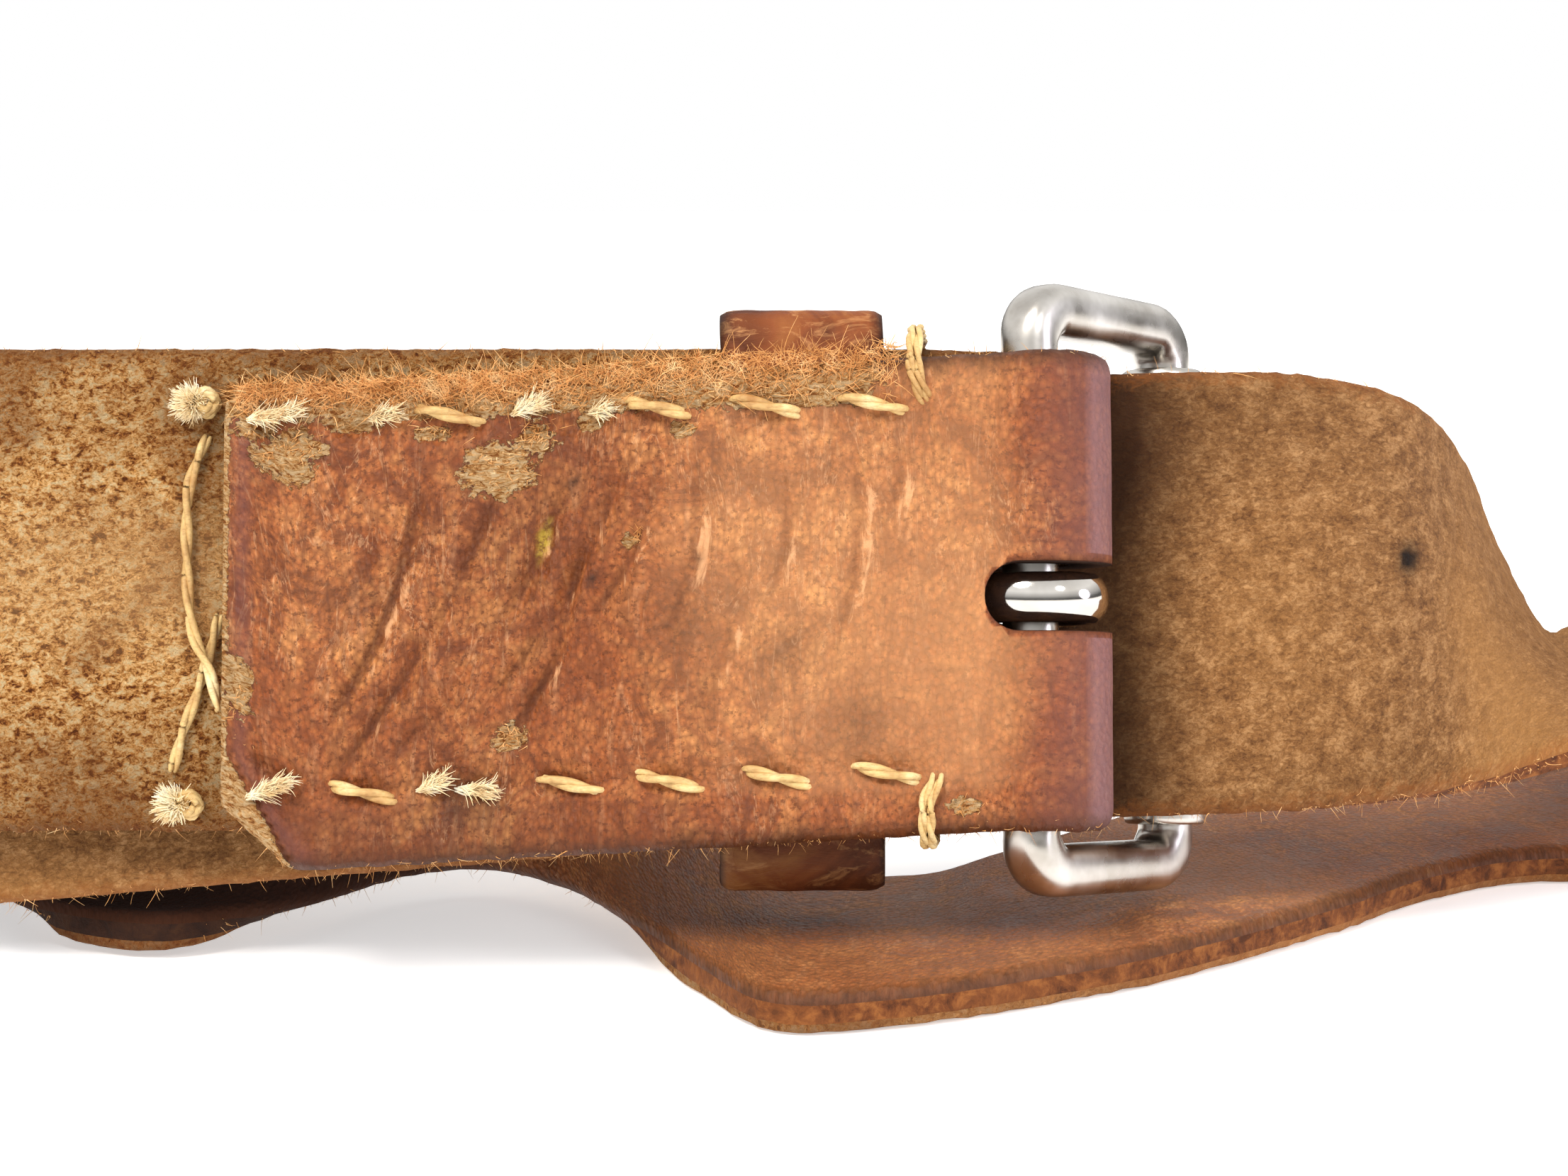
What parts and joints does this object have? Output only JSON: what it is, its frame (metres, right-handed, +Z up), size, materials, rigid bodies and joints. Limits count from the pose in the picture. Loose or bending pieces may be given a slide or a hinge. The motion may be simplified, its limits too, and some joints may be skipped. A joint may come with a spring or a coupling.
{
  "type": "guitar strap",
  "caption": "Worn narrow leather guitar strap laid in a closed loop, joined by a sewn-in roller buckle with a tongue and a leather keeper.",
  "frame": {"origin": "on the table, under the middle of the whole loop", "axes": "+X along the buckled stretch from strap to billet, +Y behind the buckle, +Z up"},
  "size_m": [0.149, 0.0558, 0.0366],
  "materials": {
    "strap_leather": "worn vegetable-tanned leather, grain one side and rough flesh the other",
    "keeper_leather": "smooth grain leather with dark edges",
    "frame_plating": "satin nickel plate",
    "roller_plating": "satin nickel plate",
    "tongue_plating": "polished nickel plate",
    "waxed_thread": "waxed two-ply linen thread"
  },
  "bodies": {
    "strap": {"strap_buckle_end": "strap_leather", "strap_left_bend": "strap_leather", "strap_back_run": "strap_leather", "strap_floor_run": "strap_leather", "strap_right_bend": "strap_leather", "strap_billet": "strap_leather", "keeper_loop": "keeper_leather", "thread_upper_seam": "waxed_thread", "thread_lower_seam": "waxed_thread", "thread_upper_edge_wrap": "waxed_thread", "thread_lower_edge_wrap": "waxed_thread", "thread_loose_long": "waxed_thread", "thread_loose_short": "waxed_thread", "knot_upper": "waxed_thread", "knot_lower": "waxed_thread"},
    "frame": {"buckle_frame": "frame_plating"},
    "roller": {"buckle_roller": "roller_plating"},
    "tongue": {"buckle_tongue": "tongue_plating"}
  },
  "joints": [
    {"name": "frame_tilt", "type": "hinge", "parent": "strap", "child": "frame", "pos_m": [0.0167, -0.01531, 0.0209], "axis": [0, 0.1908, 0.9816], "range_deg": [0, 8]},
    {"name": "roller_spin", "type": "hinge", "parent": "frame", "child": "roller", "pos_m": [0.0249, -0.00589, 0.01907], "axis": [0, 0.1908, 0.9816], "continuous": true},
    {"name": "tongue_swing", "type": "hinge", "parent": "frame", "child": "tongue", "pos_m": [0.0167, -0.01531, 0.0209], "axis": [0, 0.1908, 0.9816], "range_deg": [0, 8]}
  ]
}
